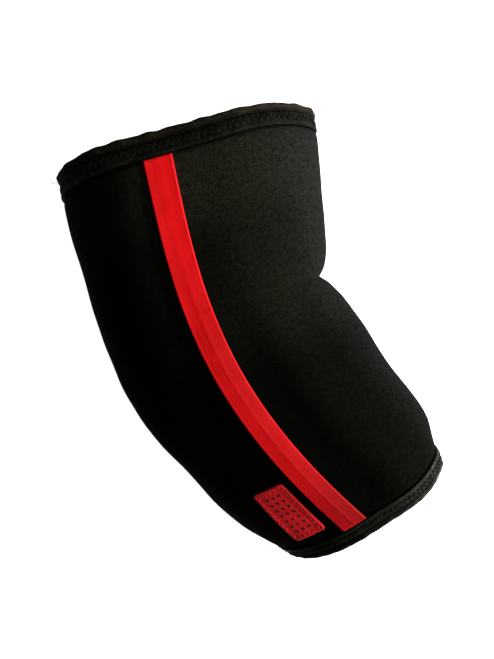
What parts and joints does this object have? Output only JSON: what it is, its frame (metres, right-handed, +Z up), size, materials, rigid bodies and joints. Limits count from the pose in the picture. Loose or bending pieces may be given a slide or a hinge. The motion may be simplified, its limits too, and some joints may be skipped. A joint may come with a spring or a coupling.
{
  "type": "elbow brace",
  "caption": "Pull-on neoprene elbow sleeve, bent at the elbow, with a red side stripe, bound edges and an open arm hollow.",
  "frame": {"origin": "under the middle of the sleeve's overall box, on the surface that it lies on", "axes": "+Z up as it lies on its side, with the side seam on top; +Y out of the upper-arm opening; the crook of the elbow is on the +X side"},
  "size_m": [0.156, 0.2078, 0.0667],
  "materials": {
    "neoprene": "matt knitted jersey on neoprene foam",
    "binding": "matt woven binding, stitched",
    "red_tape": "smooth woven tape, soft sheen",
    "red_patch": "matt woven patch"
  },
  "bodies": {
    "root": {"elbow_panel": "neoprene", "crook_panel": "neoprene", "side_stripe": "red_tape", "upper_binding": "binding", "lower_binding": "binding", "label_patch": "red_patch"}
  },
  "joints": []
}
